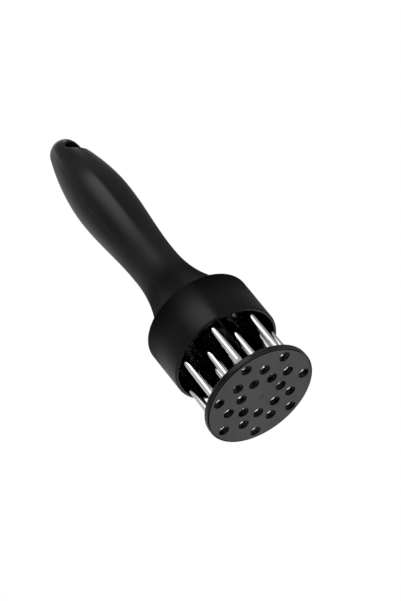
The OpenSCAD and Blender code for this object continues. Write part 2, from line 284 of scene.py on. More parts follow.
@dataclass(frozen=True)
class Steel(Finish):
    """Bare metal with drawing lines along Z, faint stains and rubbed patches. Sizes are in millimetres."""

    line: float
    line_length: float
    line_depth: float
    stain: float = 2.7
    stain_step: Point2 = (0.42, 0.72)
    stain_tone: float = 0.1
    line_tone: float = 0.12

    def shader(self, graph: Graph, place: Sock) -> Sock:
        """Adds the metal's shader.

        Args:
            graph: the material's graph.
            place: its Object coordinates.

        Returns:
            The shader.
        """
        across, along = 1 / (self.line * MM), 1 / (self.line_length * MM)
        drawn = graph.value("ShaderNodeMapping", {}, {"Vector": place, "Scale": (across, across, along)})
        lines = graph.value("ShaderNodeTexNoise", {}, {"Vector": drawn, "Scale": 1.0, "Detail": 3.0})
        patch = graph.noise(place, self.stain, 5.0).step(*self.stain_step)
        inputs = {
            "Base Color": graph.tint(self.colour, 1.0 - patch * self.stain_tone - (lines - 0.5) * self.line_tone),
            "Roughness": self.roughness + (lines - 0.5) * self.spread + patch * (self.spread / 2),
            "Metallic": 1.0,
            "Normal": graph.bump(lines, self.line_depth),
        }
        return graph.value("ShaderNodeBsdfPrincipled", {}, inputs)


@dataclass(frozen=True)
class PaleFloor(Finish):
    """Matt pale floor with a little light of its own, which keeps it pale far from the lamp."""

    glow: float
    cloud_scale: float = 3.0

    def shader(self, graph: Graph, place: Sock) -> Sock:
        """Adds the floor's shader.

        Args:
            graph: the material's graph.
            place: its Object coordinates.

        Returns:
            The shader.
        """
        cloud = graph.value("ShaderNodeTexNoise", {}, {"Vector": place, "Scale": self.cloud_scale, "Detail": 2.0})
        inputs = {
            "Base Color": (*self.colour, 1),
            "Roughness": cloud * self.spread + self.roughness,
            "Emission Color": (1, 1, 1, 1),
            "Emission Strength": self.glow,
        }
        return graph.value("ShaderNodeBsdfPrincipled", {}, inputs)


# Painted shade: the handle loses its shine towards its foot and the housing towards its top, standing for the lights
# near the tool missing those parts.
HANDLE_BLACK = Plastic(
    "handle_black", (0.0045, 0.0045, 0.0047), 0.17, 0.05, grain=0.22, grain_depth=0.0012, ripple=9.0,
    ripple_depth=0.012, specular=0.24, dull=0.24, dull_z=(122.0, 96.0), painted_shade=0.75, painted_shade_z=(90.0, 70.0),
)
HOUSING_BLACK = Plastic(
    "housing_black", (0.0016, 0.0016, 0.0017), 0.17, 0.05, grain=0.3, grain_depth=0.0006, ripple=11.0,
    ripple_depth=0.012, specular=0.2, dull=0.18, dull_z=(30.0, 46.0), painted_shade=0.75, painted_shade_z=(34.0, 52.0),
)
GUARD_BLACK = Plastic(
    "guard_black", (0.009, 0.009, 0.0093), 0.15, 0.08, grain=0.2, grain_depth=0.003, ripple=5.0,
    ripple_depth=0.012, specular=0.2, mottle=2.2,
)
INNER_PLASTIC = Plastic(
    "inner_plastic", (0.005, 0.005, 0.005), 0.4, 0.1, grain=0.25, grain_depth=0.004, ripple=7.0,
    ripple_depth=0.02, specular=0.2,
)
NEEDLE_STEEL = Steel("needle_steel", (0.90, 0.905, 0.91), 0.05, 0.03, line=0.12, line_length=14.0, line_depth=0.0001)
SCREW_STEEL = Steel("screw_steel", (0.45, 0.455, 0.46), 0.36, 0.14, line=0.3, line_length=0.8, line_depth=0.0015)
SPRING_STEEL = Steel("spring_steel", (0.70, 0.71, 0.72), 0.22, 0.12, line=0.15, line_length=3.0, line_depth=0.0008)
FLOOR_PALE = PaleFloor("floor", (0.86, 0.86, 0.86), 0.75, 0.1, glow=0.2)


# ---------------------------------------------------------------- mesh drafting


class Draft:
    """Points in millimetres and faces of one piece in the making."""

    def __init__(self) -> None:
        """Starts with nothing."""
        self.points: list[Vector] = []
        self.faces: list[tuple[int, ...]] = []
        self.flats: list[int] = []

    def put(self, points: Iterable[Sequence[float]]) -> list[int]:
        """Adds points and gives their numbers."""
        start = len(self.points)
        self.points.extend(Vector(p) for p in points)
        return list(range(start, len(self.points)))

    def grid(self, rows: Sequence[Loop], closed: bool = False) -> None:
        """Joins rows of equally many points with quads.

        Args:
            rows: the rows of points.
            closed: whether each row runs back to its start.
        """
        ids = [self.put(row) for row in rows]
        count = len(ids[0])
        for low, high in zip(ids, ids[1:]):
            for i in range(count if closed else count - 1):
                j = (i + 1) % count
                self.faces.append((low[i], low[j], high[j], high[i]))

    def flat(self, outline: Loop, holes: Sequence[Loop] = ()) -> None:
        """Fills a flat outline and leaves its holes open.

        Args:
            outline: the outer loop.
            holes: the loops of the holes.
        """
        loops = [[Vector(p) for p in loop] for loop in (outline, *holes)]
        ids = self.put(p for loop in loops for p in loop)
        start = len(self.faces)
        self.faces.extend(tuple(ids[i] for i in triangle) for triangle in tessellate_polygon(loops))
        self.flats.extend(range(start, len(self.faces)))

    def revolve(self, outline: Sequence[Point2], sides: int, centre: Point2 = (0.0, 0.0)) -> None:
        """Turns an outline of radius and height once round the centre."""
        self.grid([circle(r, z, sides, centre) for r, z in outline], closed=True)

    def bore(
        self, outline: Sequence[Point2], sides: int, centres: Sequence[Point2] = ((0.0, 0.0),)
    ) -> list[list[Loop]]:
        """Makes the wall of the same hole at several places.

        Args:
            outline: radius and height of the wall's points, from its low mouth to its high one.
            sides: the number of sides.
            centres: the holes' places.

        Returns:
            The loops of the low mouths, and those of the high mouths.
        """
        for centre in centres:
            self.revolve(outline, sides, centre)
        return [[circle(*end, sides, centre) for centre in centres] for end in (outline[0], outline[-1])]

    def mesh(self, name: str) -> bpy.types.Mesh:
        """Welds the draft and turns its faces outwards.

        Args:
            name: the mesh's name.

        Returns:
            The mesh, in metres.
        """
        mesh = bpy.data.meshes.new(name)
        mesh.from_pydata([p * MM for p in self.points], [], self.faces)
        for i in self.flats:
            mesh.polygons[i].material_index = 1
        return tidy(mesh)


def tidy(mesh: bpy.types.Mesh) -> bpy.types.Mesh:
    """Merges doubles, turns faces outwards and smooths all but sharp edges and the edges of flat fills.

    Args:
        mesh: the mesh, in metres; a flat fill's faces have the material index 1, which is cleared.

    Returns:
        The same mesh.
    """
    work = bmesh.new()
    work.from_mesh(mesh)
    bmesh.ops.remove_doubles(work, verts=work.verts, dist=WELD)
    bmesh.ops.dissolve_degenerate(work, edges=work.edges, dist=WELD)
    bmesh.ops.recalc_face_normals(work, faces=work.faces)
    open_edges = sum(not e.is_manifold for e in work.edges)
    for edge in work.edges:
        fills = {face.material_index for face in edge.link_faces}
        edge.smooth = edge.calc_face_angle(0.0) < math.radians(FLAT_BEND if len(fills) > 1 else SHARP)
    for face in work.faces:
        face.smooth = True
        face.material_index = 0
    work.to_mesh(mesh)
    work.free()
    if open_edges:
        LOG.warning("%s has %d open edges", mesh.name, open_edges)
    return mesh


def circle(radius: float, z: float, sides: int, centre: Point2 = (0.0, 0.0)) -> list[Vector]:
    """The points of a level circle, as many as it has sides."""
    angles = [TURN * i / sides for i in range(sides)]
    return [Vector((centre[0] + radius * math.cos(a), centre[1] + radius * math.sin(a), z)) for a in angles]


def rounded(corners: Sequence[Point3], steps: int) -> list[Point2]:
    """An outline through corners that are each rounded by a radius.

    Args:
        corners: two coordinates and the radius of each corner; the first and last stay sharp.
        steps: segments in each round.

    Returns:
        The outline's points.
    """
    line: list[Point2] = []
    for i, (x, y, radius) in enumerate(corners):
        if radius == 0 or i in (0, len(corners) - 1):
            line.append((x, y))
            continue
        here = Vector((x, y))
        before, after = ((Vector(corners[k][:2]) - here).normalized() for k in (i - 1, i + 1))
        half = before.angle(after) / 2
        centre = here + (before + after).normalized() * radius / math.sin(half)
        start, end = (here + way * radius / math.tan(half) - centre for way in (before, after))
        first = math.atan2(start.y, start.x)
        sweep = (math.atan2(end.y, end.x) - first + HALF) % TURN - HALF
        for k in range(steps + 1):
            a = first + sweep * k / steps
            line.append((centre.x + radius * math.cos(a), centre.y + radius * math.sin(a)))
    return line


def linked(name: str, data: bpy.types.ID) -> bpy.types.Object:
    """Makes an object of some data and links it to the scene."""
    thing = bpy.data.objects.new(name, data)
    bpy.context.scene.collection.objects.link(thing)
    return thing


def plain(thing: bpy.types.Object) -> bpy.types.Mesh:
    """Turns an object, as its modifiers leave it, into a plain mesh."""
    return bpy.data.meshes.new_from_object(thing.evaluated_get(bpy.context.evaluated_depsgraph_get()))


def dress(mesh: bpy.types.Mesh, finish: Finish, body: str, nodes: Sequence[str], name: str) -> bpy.types.Object:
    """Puts a finished mesh in the scene as a piece of the tool.

    Args:
        mesh: the mesh, in metres and in place.
        finish: its finish.
        body: the body that it rides on.
        nodes: the CAD nodes that it stands for.
        name: the piece's name.

    Returns:
        The piece.
    """
    mesh.materials.clear()
    mesh.materials.append(finish.material())
    piece = linked(name, mesh)
    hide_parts(*nodes)
    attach(piece, body)
    LOG.info("%s: %d faces for %d nodes", name, len(mesh.polygons), len(nodes))
    return piece


def cut(mesh: bpy.types.Mesh, cutter: bpy.types.Mesh) -> bpy.types.Mesh:
    """Takes one closed mesh from another.

    Args:
        mesh: the mesh that is cut.
        cutter: what is taken away.

    Returns:
        The cut mesh.
    """
    body, tool = (linked(m.name + "_tmp", m) for m in (mesh, cutter))
    modifier = body.modifiers.new("cut", "BOOLEAN")
    modifier.operation, modifier.solver, modifier.object = "DIFFERENCE", "EXACT", tool
    result = plain(body)
    for thing in (body, tool):
        bpy.data.objects.remove(thing)
    return tidy(result)


# ---------------------------------------------------------------- geometry node trees


class GeometryTree:
    """A Geometry Nodes tree with named inputs that is run on a bare object."""

    def __init__(self, name: str, inputs: dict[str, str]) -> None:
        """Makes the tree's inputs, with one for the material after the others.

        Args:
            name: the tree's name.
            inputs: kind of socket by input name.
        """
        self.tree = bpy.data.node_groups.new(name, "GeometryNodeTree")
        self.graph = Graph(self.tree)
        self.tree.interface.new_socket("Geometry", in_out="OUTPUT", socket_type="NodeSocketGeometry")
        self.ids = {
            key: self.tree.interface.new_socket(key, in_out="INPUT", socket_type="NodeSocket" + kind).identifier
            for key, kind in {**inputs, "Material": "Material"}.items()
        }
        self.source = self.graph.add("NodeGroupInput")

    def given(self, name: str) -> Sock:
        """The named input as a Sock."""
        return Sock(self.graph, self.source.outputs[name])

    def close(self, geometry: Sock) -> None:
        """Ends the tree in Realize Instances and Set Material.

        Args:
            geometry: what the tree has made.
        """
        real = self.graph.value("GeometryNodeRealizeInstances", {}, {"Geometry": geometry})
        inputs = {"Geometry": real, "Material": self.given("Material")}
        self.graph.add("NodeGroupOutput", {}, {"Geometry": self.graph.value("GeometryNodeSetMaterial", {}, inputs)})

    def run(self, name: str, finish: Finish, values: dict[str, object]) -> bpy.types.Mesh:
        """Runs the tree with the given values.

        Args:
            name: the mesh's name.
            finish: its finish.
            values: the value of each other input by its name.

        Returns:
            The result as a plain mesh.
        """
        carrier = linked(name + "_tree", bpy.data.meshes.new(name + "_tree"))
        modifier = carrier.modifiers.new("tree", "NODES")
        modifier.node_group = self.tree
        for key, value in {**values, "Material": finish.material()}.items():
            modifier[self.ids[key]] = value
        result = plain(carrier)
        bpy.data.objects.remove(carrier)
        result.name = name
        return result


class RingPattern:
    """Places one piece at equal angles on a circle, turned with it."""

    def __init__(self) -> None:
        """Builds the tree."""
        inputs = {"Piece": "Object", "Count": "Int", "Radius": "Float", "Start angle": "Float", "Own turn": "Float"}
        made = GeometryTree("ring_pattern", inputs)
        graph = made.graph
        piece, count, radius, start, own_turn = map(made.given, inputs)
        angle = start + graph.value("GeometryNodeInputIndex") * TURN / count
        place = {"X": radius * angle.math("COSINE"), "Y": radius * angle.math("SINE")}
        spots = {"Count": count, "Position": graph.value("ShaderNodeCombineXYZ", {}, place)}
        placed = {
            "Points": graph.value("GeometryNodePoints", {}, spots),
            "Instance": graph.value("GeometryNodeObjectInfo", {}, {"Object": piece}, "Geometry"),
            "Rotation": graph.value("ShaderNodeCombineXYZ", {}, {"Z": angle + own_turn}),
        }
        made.close(graph.value("GeometryNodeInstanceOnPoints", {}, placed))
        self.made = made

    def run(
        self, name: str, piece: bpy.types.Mesh, finish: Finish, places: Sequence[tuple[int, float, float, float]]
    ) -> bpy.types.Mesh:
        """Places a mesh on one or more rings.

        Args:
            name: the result's name.
            piece: the mesh that is repeated, on the axis.
            finish: its finish.
            places: count, radius in millimetres, first angle and own turn of each ring.

        Returns:
            One mesh of all copies.
        """
        source = linked(name + "_one", piece)
        work = bmesh.new()
        for count, radius, start, turn in places:
            values = {"Piece": source, "Count": count, "Radius": radius * MM, "Start angle": start, "Own turn": turn}
            work.from_mesh(self.made.run(name + "_ring", finish, values))
        bpy.data.objects.remove(source)
        result = bpy.data.meshes.new(name)
        work.to_mesh(result)
        work.free()
        return result


RING_PATTERN = RingPattern()


# ---------------------------------------------------------------- shared sizes


@dataclass(frozen=True)
class Rings:
    """The needle rings and the screw circle, which the disc, the carrier and the roof share. Millimetres."""

    count: int = 7
    inner_r: float = 9.9
    middle_r: float = 15.55
    outer_r: float = 21.2
    screw_r: float = 15.55
    screw_spots: tuple[int, ...] = (1, 3, 4, 6)

    @property
    def step(self) -> float:
        """Angle between two needles of a ring."""
        return TURN / self.count

    def rings(self) -> list[Point2]:
        """Radius and first angle of each ring."""
        return [(self.inner_r, 0.0), (self.middle_r, self.step / 2), (self.outer_r, 0.0)]

    def needle_places(self) -> list[Point2]:
        """Centre of each needle."""
        spots = [(r, start + self.step * i) for r, start in self.rings() for i in range(self.count)]
        return [(r * math.cos(a), r * math.sin(a)) for r, a in spots]

    def screw_places(self) -> list[Point2]:
        """Centre of each housing screw."""
        angles = [self.step * i for i in self.screw_spots]
        return [(self.screw_r * math.cos(a), self.screw_r * math.sin(a)) for a in angles]


RINGS = Rings()


# ---------------------------------------------------------------- handle


class Side(Enum):
    """The two moulded halves of the handle, and the sign of X on which each lies."""

    FRONT = 1
    REAR = -1


@dataclass
class Handle:
    """Two half shells that meet on the plane x = 0, with a hanging hole across their end. Millimetres.

    A fine groove of the seam's width runs along the parting plane; lip_out, lip_in and lip_foot give its profile as
    shares of that width. The patch is the surface round the hanging hole, between two rows and inside the margin.
    """

    foot_z: float = 51.9
    foot_r: float = 22.7
    foot_edge: float = 0.6
    flare_lead: float = 0.7
    neck_z: float = 91.0
    neck_r: float = 11.8
    belly_z: float = 142.0
    belly_r: float = 14.8
    shoulder_z: float = 186.0
    shoulder_r: float = 7.8
    end_z: float = 192.0
    oval: float = 0.9
    flare_power: float = 2.2
    taper_power: float = 1.85
    hang_z: float = 179.2
    hang_r: float = 5.0
    hang_round: float = 0.7
    chamber_r: float = 6.5
    chamber_mid_z: float = 74.0
    chamber_top_z: float = 97.0
    seam: float = 0.13
    seam_share: float = 0.15
    lip_out: float = 0.35
    lip_in: float = 0.45
    lip_foot: float = 1.1
    columns: int = 60
    chamber_columns: int = 40
    row_counts: tuple[int, ...] = (44, 42, 26, 14, 4)
    flare_bias: float = 1.25
    tip_rows: int = 12
    margin: int = 5
    patch_low_z: float = 171.6
    patch_high_z: float = 187.4
    mouth_steps: int = 8
    skirt_rows: int = 7
    skirt_bias: float = 1.3
    nudge: float = 0.01
    halvings: int = 40

    def width(self, z: float) -> float:
        """Half width along X at a height.

        Args:
            z: the height.

        Returns:
            The half width.
        """
        if z < self.neck_z:
            u = (z - self.foot_z - self.foot_edge) / (self.neck_z - self.foot_z - self.foot_edge)
            return self.neck_r + (self.foot_r - self.neck_r) * (1 - min(1.0, max(0.0, u))) ** self.flare_power
        if z < self.belly_z:
            u = (z - self.neck_z) / (self.belly_z - self.neck_z)
            return self.neck_r + (self.belly_r - self.neck_r) * (1 - math.cos(HALF * u)) / 2
        if z < self.shoulder_z:
            u = (z - self.belly_z) / (self.shoulder_z - self.belly_z)
            return self.belly_r - (self.belly_r - self.shoulder_r) * u ** self.taper_power
        cap = self.end_z - self.shoulder_z
        slope = -(self.belly_r - self.shoulder_r) * self.taper_power / (self.shoulder_z - self.belly_z)
        lead = 2 * self.shoulder_r * slope * cap
        u = (z - self.shoulder_z) / cap
        return math.sqrt(max(0.0, self.shoulder_r ** 2 + lead * u - (self.shoulder_r ** 2 + lead) * u * u))

    def outline(self) -> list[Point2]:
        """Half width and height of each row, from the foot's face to the tip.

        Returns:
            The rows.
        """
        edge_z = self.foot_z + self.foot_edge
        flare_z = edge_z + self.flare_lead
        foot = rounded([
            (self.foot_r - 1, self.foot_z, 0), (self.foot_r, self.foot_z, 0.15), (self.foot_r, edge_z, 0.35),
            (self.width(flare_z), flare_z, 0),
        ], 4)[1:]
        stops = (flare_z, self.neck_z, self.belly_z, self.patch_low_z, self.shoulder_z, self.patch_high_z)
        heights = []
        for low, high, count in zip(stops, stops[1:], self.row_counts):
            bias = self.flare_bias if low == flare_z else 1.0
            heights += [low + (high - low) * (i / count) ** bias for i in range(1, count + 1)]
        rest, count = self.end_z - self.patch_high_z, self.tip_rows
        heights += [self.patch_high_z + rest * math.sin(QUARTER * i / count) for i in range(1, count + 1)]
        return foot + [(self.width(z), z) for z in heights]

    def row(self, r: float, z: float) -> list[Vector]:
        """Points of one level of the half shell, from the parting plane round to the parting plane.

        Args:
            r: the half width.
            z: the height.

        Returns:
            The points, on the +X side.
        """
        groove = min(self.seam, self.seam_share * r)
        most = math.acos(groove / r) if r > 0 else QUARTER
        arc = [most * (2 * j / self.columns - 1) for j in range(self.columns + 1)]
        body = [Vector((r * math.cos(a), self.oval * r * math.sin(a), z)) for a in arc]
        edge = abs(body[0].y)
        lip = [(self.lip_out * groove, edge - self.lip_in * groove), (0.0, edge - self.lip_foot * groove)]
        return [Vector((x, -y, z)) for x, y in reversed(lip)] + body + [Vector((x, y, z)) for x, y in lip]

    def surface_x(self, y: float, z: float) -> float:
        """How far out the outer surface lies at a place seen along X."""
        r = self.width(z)
        return r * math.sqrt(max(0.0, 1 - (y / (self.oval * r)) ** 2))

    def mouth_ring(self, angle: float) -> tuple[list[Vector], float]:
        """The rolled edge of the hanging hole in the direction of an angle.

        Args:
            angle: direction from the hole's centre in the YZ plane.

        Returns:
            Points from the bore to the outer surface, and the distance of the last from the hole's centre.
        """
        across, up = math.cos(angle), math.sin(angle)
        radius, reach = self.hang_round, self.hang_r + self.hang_round

        def out(s: float) -> float:
            """How far out the surface lies at a distance from the hole's centre."""
            return self.surface_x(s * across, self.hang_z + s * up)

        def slope(s: float) -> float:
            """The surface's slope there."""
            return (out(s + self.nudge) - out(s - self.nudge)) / (2 * self.nudge)

        low, high = self.hang_r, reach + radius
        for _ in range(self.halvings):
            s = (low + high) / 2
            m = slope(s)
            if s + radius * m / math.hypot(1, m) < reach:
                low = s
            else:
                high = s
        m = slope(s)
        centre_x = out(s) - radius / math.hypot(1, m)
        end = math.atan2(1, -m)
        ring = []
        for k in range(self.mouth_steps + 1):
            a = HALF + (end - HALF) * k / self.mouth_steps
            away = reach + radius * math.cos(a)
            ring.append(Vector((centre_x + radius * math.sin(a), away * across, self.hang_z + away * up)))
        return ring, s

    @property
    def window(self) -> tuple[int, int]:
        """First and last column of the patch."""
        return 2 + self.margin, 2 + self.columns - self.margin

    def patch(self, draft: Draft, rows: Sequence[Sequence[Vector]]) -> list[float]:
        """Builds the surface round the hanging hole, its rolled edge and its bore.

        Args:
            draft: the half shell's draft.
            rows: the half shell's rows from the patch's lowest to its highest.

        Returns:
            The angles at which the bore has points.
        """
        first, last = self.window
        border = rows[0][first:last] + [row[last] for row in rows[:-1]]
        border += rows[-1][last:first:-1] + [row[first] for row in reversed(rows[1:])]
        angles = [math.atan2(p.z - self.hang_z, p.y) for p in border]
        spokes = []
        for p, angle in zip(border, angles):
            edge, start = self.mouth_ring(angle)
            far = math.hypot(p.y, p.z - self.hang_z)
            skirt = []
            for k in range(1, self.skirt_rows):
                s = start + (far - start) * (k / self.skirt_rows) ** self.skirt_bias
                y, z = s * math.cos(angle), self.hang_z + s * math.sin(angle)
                skirt.append(Vector((self.surface_x(y, z), y, z)))
            bore = [
                (0.0, self.hang_r + self.seam),
                (self.lip_out * self.seam, self.hang_r + self.lip_in * self.seam),
                (self.seam, self.hang_r),
                (edge[0].x / 2, self.hang_r),
            ]
            inside = [Vector((x, r * math.cos(angle), self.hang_z + r * math.sin(angle))) for x, r in bore]
            spokes.append(inside + edge + skirt + [p])
        draft.grid([list(ring) for ring in zip(*spokes)], closed=True)
        return angles

    def half(self) -> Draft:
        """Builds the half shell on the +X side.

        Returns:
            The draft.
        """
        draft = Draft()
        outline = self.outline()
        rows = [self.row(r, z) for r, z in outline]
        low, high = (
            min(range(len(outline)), key=lambda i: abs(outline[i][1] - level))
            for level in (self.patch_low_z, self.patch_high_z)
        )
        first, last = self.window
        beside = rows[low : high + 1]
        draft.grid(rows[: low + 1])
        draft.grid([row[: first + 1] for row in beside])
        draft.grid([row[last:] for row in beside])
        draft.grid(rows[high:])
        angles = self.patch(draft, beside)

        count, reach = self.chamber_columns, self.chamber_r
        bend = [QUARTER * (2 * k / count - 1) for k in range(count + 1)]
        levels = (self.foot_z, self.chamber_mid_z, self.chamber_top_z)
        chamber = [[Vector((reach * math.cos(a), reach * math.sin(a), z)) for a in bend] for z in levels]
        draft.grid(chamber)
        draft.flat(chamber[-1])
        draft.flat(rows[0] + chamber[0][::-1])
        rim = self.hang_r + self.seam
        bore = [Vector((0.0, rim * math.cos(a), self.hang_z + rim * math.sin(a))) for a in angles]
        inner = [Vector((0.0, reach, z)) for z in levels] + [Vector((0.0, -reach, z)) for z in reversed(levels)]
        outer = [row[0] for row in rows] + [row[-1] for row in reversed(rows[:-1])]
        draft.flat(outer + inner, [bore])
        return draft

    def build(self) -> None:
        """Builds and dresses both halves."""
        for side in Side:
            draft = self.half()
            draft.points = [Vector((side.value * p.x, p.y, p.z)) for p in draft.points]
            name = f"handle_{side.name.lower()}"
            dress(draft.mesh(name), HANDLE_BLACK, "handle_assembly", [name + "_shell"], name + "_half")


# ---------------------------------------------------------------- housing and carrier


@dataclass
class Housing:
    """The round cup that hides the carrier, with rounded lip and edge. Millimetres."""

    mouth_z: float = 27.5
    top_z: float = 51.9
    roof_z: float = 49.4
    mouth_r: float = 25.2
    top_r: float = 25.6
    wall: float = 1.4
    lip_round: float = 0.9
    inner_round: float = 0.25
    top_round: float = 0.7
    roof_round: float = 0.4
    stem_hole_r: float = 4.2
    screw_hole_r: float = 1.55
    sides: int = 192

    def build(self) -> None:
        """Builds and dresses the housing."""
        draft = Draft()
        roof_r = self.mouth_r + (self.top_r - self.mouth_r) * (self.roof_z - self.mouth_z) / (self.top_z - self.mouth_z)
        roof_r -= self.wall
        wall = rounded([
            (self.top_r - 2, self.top_z, 0),
            (self.top_r, self.top_z, self.top_round),
            (self.mouth_r, self.mouth_z, self.lip_round),
            (self.mouth_r - self.wall, self.mouth_z, self.inner_round),
            (roof_r, self.roof_z, self.roof_round),
            (roof_r - 2, self.roof_z, 0),
        ], 8)
        draft.revolve(wall, self.sides)
        levels = (self.roof_z, self.top_z)
        stem = draft.bore([(self.stem_hole_r, z) for z in levels], AXIS_SIDES)
        screws = draft.bore([(self.screw_hole_r, z) for z in levels], SCREW_HOLE_SIDES, RINGS.screw_places())
        for end, level in ((wall[0], 1), (wall[-1], 0)):
            draft.flat(circle(*end, self.sides), stem[level] + screws[level])
        dress(draft.mesh("housing"), HOUSING_BLACK, "handle_assembly", ["needle_housing"], "housing")


@dataclass
class Carrier:
    """The plate that holds the needle heads and screws, with the stem's guide sleeve. Millimetres."""

    bottom_z: float = 44.4
    top_z: float = 49.35
    sleeve_z: float = 38.4
    sleeve_r: float = 6.0
    sleeve_fillet: float = 0.5
    bore_r: float = 4.08
    plate_r: float = 23.97
    needle_hole_r: float = 1.65
    head_pocket_r: float = 2.1
    head_pocket_z: float = 48.25
    screw_recess_r: float = 2.9
    screw_recess_z: float = 46.9
    screw_hole_r: float = 1.55
    edge: float = 0.3
    sides: int = 160
    needle_sides: int = 24

    def build(self) -> None:
        """Builds and dresses the carrier."""
        draft = Draft()
        rim = rounded([
            (self.plate_r - 1, self.bottom_z, 0), (self.plate_r, self.bottom_z, self.edge),
            (self.plate_r, self.top_z, self.edge), (self.plate_r - 1, self.top_z, 0),
        ], 4)[1:-1]
        draft.revolve(rim, self.sides)
        sleeve = rounded([
            (self.sleeve_r + 1.2, self.bottom_z, 0), (self.sleeve_r, self.bottom_z, self.sleeve_fillet),
            (self.sleeve_r, self.sleeve_z, self.edge), (self.bore_r, self.sleeve_z, self.edge),
            (self.bore_r, self.top_z, 0),
        ], 4)[1:]
        low, high = draft.bore(sleeve, AXIS_SIDES)
        steps = (
            (self.needle_hole_r, self.head_pocket_z, self.head_pocket_r, self.needle_sides, RINGS.needle_places()),
            (self.screw_recess_r, self.screw_recess_z, self.screw_hole_r, SCREW_HOLE_SIDES, RINGS.screw_places()),
        )
        for low_r, ledge_z, high_r, sides, centres in steps:
            wall = [(low_r, self.bottom_z), (low_r, ledge_z), (high_r, ledge_z), (high_r, self.top_z)]
            mouths = draft.bore(wall, sides, centres)
            low += mouths[0]
            high += mouths[1]
        draft.flat(circle(rim[0][0], self.bottom_z, self.sides), low)
        draft.flat(circle(rim[-1][0], self.top_z, self.sides), high)
        dress(draft.mesh("carrier"), INNER_PLASTIC, "handle_assembly", ["needle_carrier"], "carrier")


# ---------------------------------------------------------------- needles and screws


@dataclass
class Needles:
    """Round steel needles with an upset head and a point ground on two sides to a chisel edge. Millimetres."""

    radius: float = 1.6
    point_z: float = 2.0
    point_angle: float = 20.0
    collar: float = 0.6
    head_r: float = 2.0
    head_z: float = 48.3
    top_z: float = 49.3
    sides: int = 48

    def one(self) -> bpy.types.Mesh:
        """Builds one needle on the axis.

        Returns:
            The mesh.
        """
        draft = Draft()
        lift = 1 / math.tan(math.radians(self.point_angle))
        base = circle(self.radius, 0, self.sides)
        ground = [Vector((p.x, p.y, self.point_z + abs(p.x) * lift)) for p in base]
        shank_z = self.point_z + self.radius * lift + self.collar
        draft.grid([ground, circle(self.radius, shank_z, self.sides)], closed=True)
        head = rounded([
            (self.radius, shank_z, 0), (self.radius, self.head_z, 0.1), (self.head_r, self.head_z, 0.1),
            (self.head_r, self.top_z, 0.15), (0, self.top_z, 0),
        ], 3)
        draft.revolve(head, self.sides)
        quarter = self.sides // 4
        for start in (-quarter, quarter):
            draft.flat([ground[i % self.sides] for i in range(start, start + 2 * quarter + 1)])
        return draft.mesh("needle")

    def build(self) -> None:
        """Places and dresses all needles."""
        places = [(RINGS.count, r, start, 0.0) for r, start in RINGS.rings()]
        mesh = RING_PATTERN.run("needles", self.one(), NEEDLE_STEEL, places)
        names = [f"needle_{ring}_{i}" for ring in ("inner", "middle", "outer") for i in range(1, RINGS.count + 1)]
        dress(mesh, NEEDLE_STEEL, "handle_assembly", names, "needles")


@dataclass
class Screw:
    """Pan-head self-tapping screw with a cross recess, its head's seat on z = 0 and its shank up. Millimetres."""

    length: float
    shank_r: float = 1.45
    core_r: float = 1.05
    pitch: float = 1.25
    thread_z: float = 0.5
    thread_lead: float = 0.8
    tip_length: float = 2.2
    tip_share: float = 0.12
    tip_power: float = 0.6
    crest_rise: float = 2.2
    crest_drop: float = 1.2
    head_r: float = 2.7
    head_h: float = 2.0
    head_round: float = 1.2
    drive_len: float = 3.2
    drive_w: float = 0.75
    drive_depth: float = 1.0
    drive_over: float = 0.5
    drive_taper: float = 0.72
    sides: int = 24
    rows_per_turn: int = 12

    def shank(self, draft: Draft) -> None:
        """Adds the threaded shank.

        Args:
            draft: the screw's draft.
        """
        threaded = self.length - self.thread_z
        steps = round(threaded / self.pitch * self.rows_per_turn)
        rows = []
        for i in range(steps + 1):
            z = self.thread_z + threaded * i / steps
            taper = min(1.0, (self.length - z) / self.tip_length) ** self.tip_power
            start = min(1.0, (z - self.thread_z) / self.thread_lead)
            row = []
            for k in range(self.sides):
                wave = 1 - abs(2 * ((z / self.pitch - k / self.sides) % 1.0) - 1)
                crest = max(0.0, wave * self.crest_rise - self.crest_drop)
                r = self.core_r + (self.shank_r - self.core_r) * crest * start
                r *= self.tip_share + (1 - self.tip_share) * taper
                row.append(Vector((r * math.cos(TURN * k / self.sides), r * math.sin(TURN * k / self.sides), z)))
            rows.append(row)
        draft.grid([circle(self.core_r, 0, self.sides), *rows], closed=True)
        draft.flat(rows[-1])

    def drive(self, turn: float) -> bpy.types.Mesh:
        """Builds one bar of the tool that cuts the cross recess.

        Args:
            turn: the bar's angle.

        Returns:
            The mesh.
        """
        bar = Draft()
        across, along = self.drive_w / 2, self.drive_len / 2
        c, s = math.cos(turn), math.sin(turn)
        loop = [(-along, -across), (along, -across), (along, across), (-along, across)]
        ends = [(-self.head_h - self.drive_over, 1.0), (-self.head_h + self.drive_depth, self.drive_taper)]
        rows = [[Vector((k * x * c - y * s, k * x * s + y * c, z)) for x, y in loop] for z, k in ends]
        bar.grid(rows, closed=True)
        for row in rows:
            bar.flat(row)
        return bar.mesh("drive")

    def mesh(self) -> bpy.types.Mesh:
        """Builds the screw.

        Returns:
            The mesh.
        """
        draft = Draft()
        head = rounded([
            (0, -self.head_h, 0), (self.head_r, -self.head_h, self.head_round), (self.head_r, 0, 0.12),
            (self.core_r, 0, 0),
        ], 8)
        draft.revolve(head, self.sides)
        self.shank(draft)
        blank = draft.mesh("screw")
        for turn in (0.0, QUARTER):
            blank = cut(blank, self.drive(turn))
        return blank


